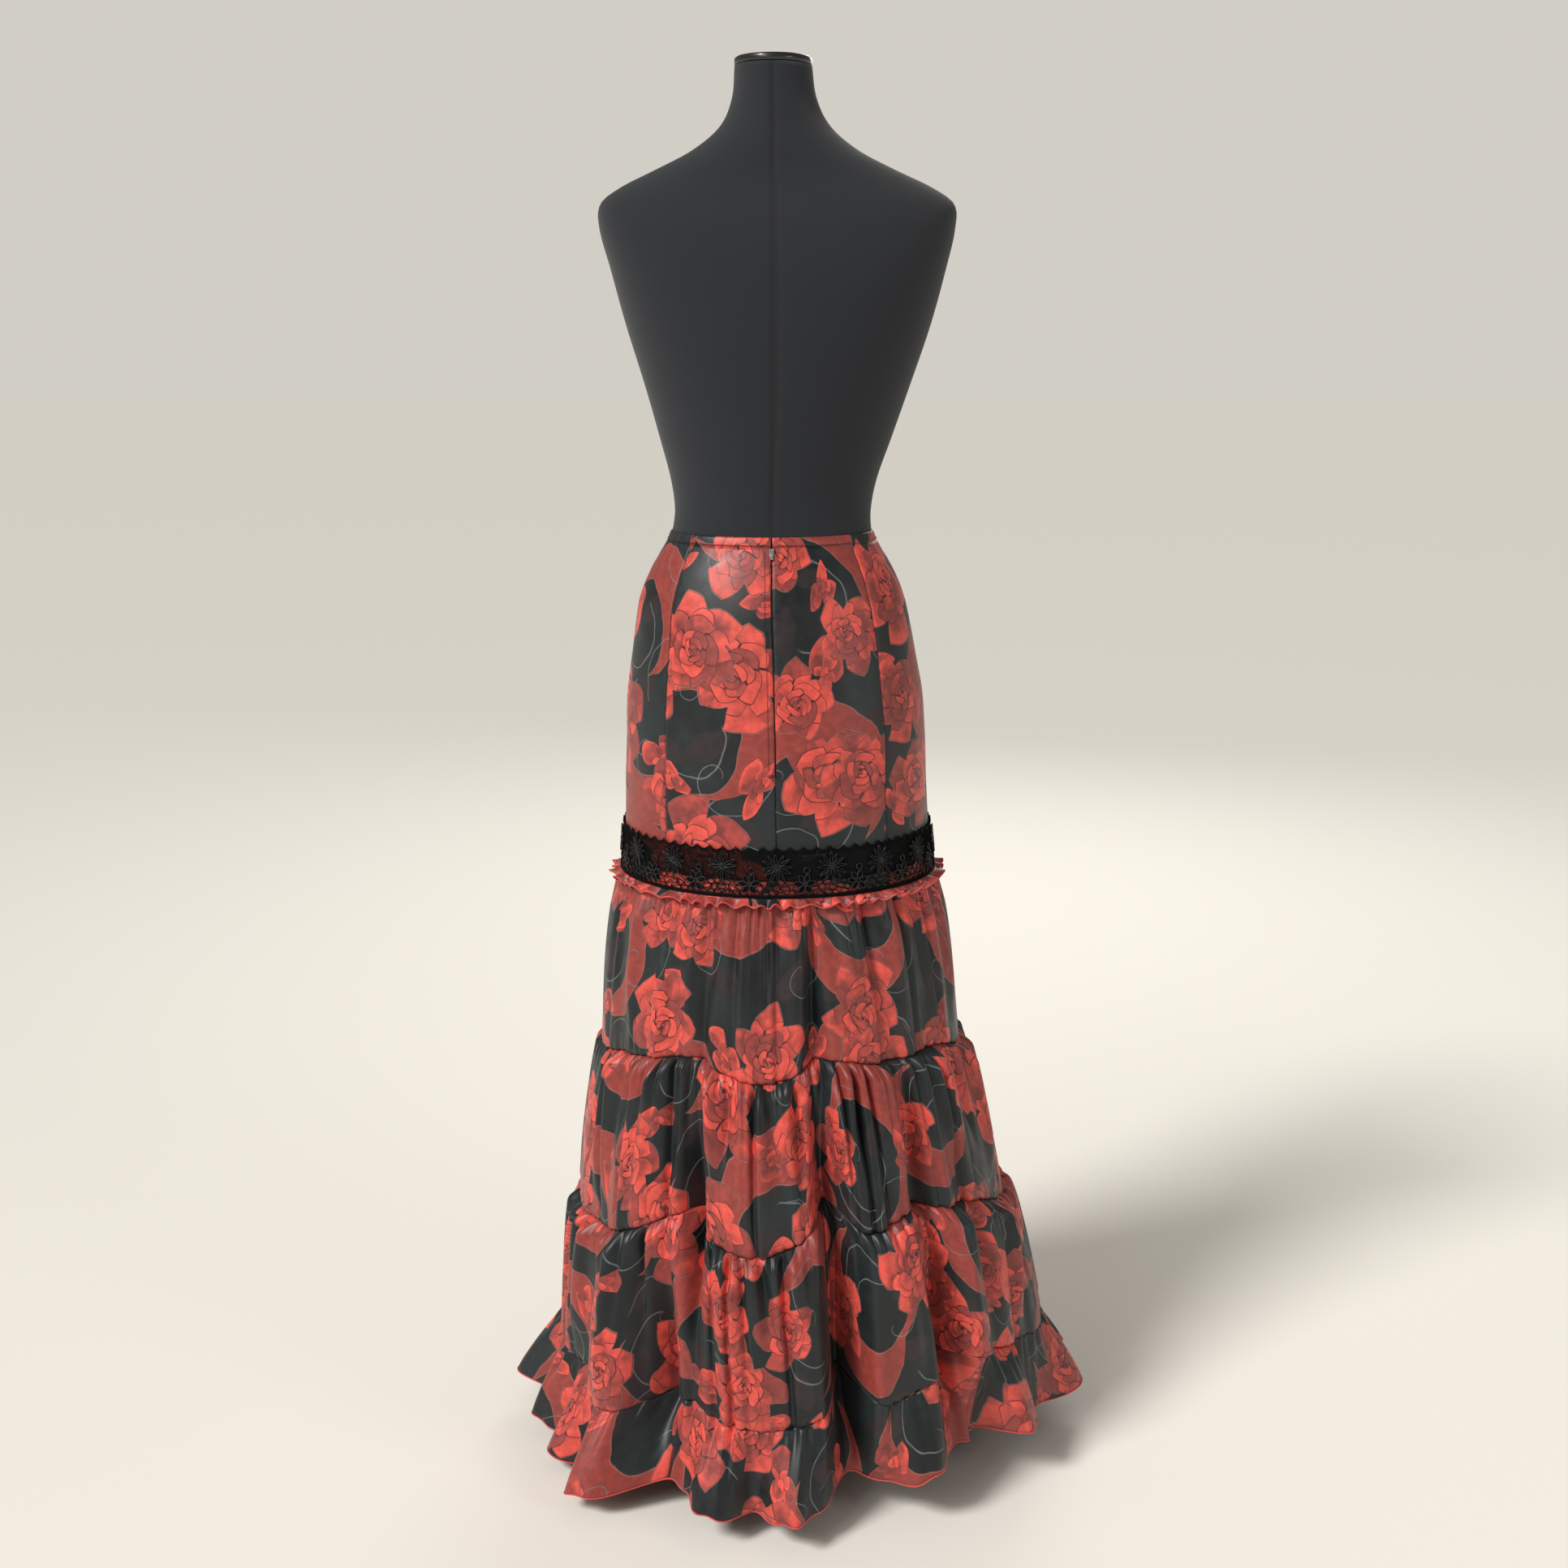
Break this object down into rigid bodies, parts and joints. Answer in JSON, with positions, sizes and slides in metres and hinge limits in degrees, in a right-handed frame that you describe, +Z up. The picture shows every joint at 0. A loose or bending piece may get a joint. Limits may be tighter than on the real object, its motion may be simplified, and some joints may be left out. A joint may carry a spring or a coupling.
{
  "type": "flamenco skirt on a dress form",
  "caption": "Long flamenco skirt of rose-printed black satin, with a gored yoke, lace band, gathered tiers and hem ruffle, zipped at the back, on a limbless dress form.",
  "frame": {"origin": "centre of the base's underside, on the floor", "axes": "+Z up; -Y the skirt's back, with the zip; +Y its front; +X the wearer's right side"},
  "size_m": [0.6755, 0.5975, 1.5403],
  "materials": {
    "printed_satin": "polyester satin with a red rose print on blue-black, soft sheen",
    "black_lace": "matt black guipure lace",
    "zip_tape": "matt woven tape",
    "zip_metal": "bright nickel",
    "form_cover": "matt blue-black knit cover",
    "stand_enamel": "satin black enamel"
  },
  "bodies": {
    "root": {"back_left": "printed_satin", "back_right": "printed_satin", "form_base": "stand_enamel", "form_neck_cap": "stand_enamel", "form_pole": "stand_enamel", "form_torso": "form_cover", "frill_back": "printed_satin", "frill_front": "printed_satin", "front": "printed_satin", "lace_back": "black_lace", "lace_front": "black_lace", "ruffle_back": "printed_satin", "ruffle_front": "printed_satin", "ruffle_left": "printed_satin", "ruffle_right": "printed_satin", "side_back_left": "printed_satin", "side_back_right": "printed_satin", "side_front_left": "printed_satin", "side_front_right": "printed_satin", "tier1_back": "printed_satin", "tier1_front": "printed_satin", "tier2_back": "printed_satin", "tier2_front_left": "printed_satin", "tier2_front_right": "printed_satin", "tier3_back_left": "printed_satin", "tier3_back_right": "printed_satin", "tier3_front_left": "printed_satin", "tier3_front_right": "printed_satin", "waistband": "printed_satin", "zip_slider": "zip_metal", "zip_tape": "zip_tape"},
    "zip_pull": {"zip_pull": "zip_metal"}
  },
  "joints": [
    {"name": "zip_pull_hinge", "type": "hinge", "parent": "root", "child": "zip_pull", "pos_m": [0, -0.09326, 1.04543], "axis": [-1, 0, 0], "range_deg": [0, 120]}
  ]
}
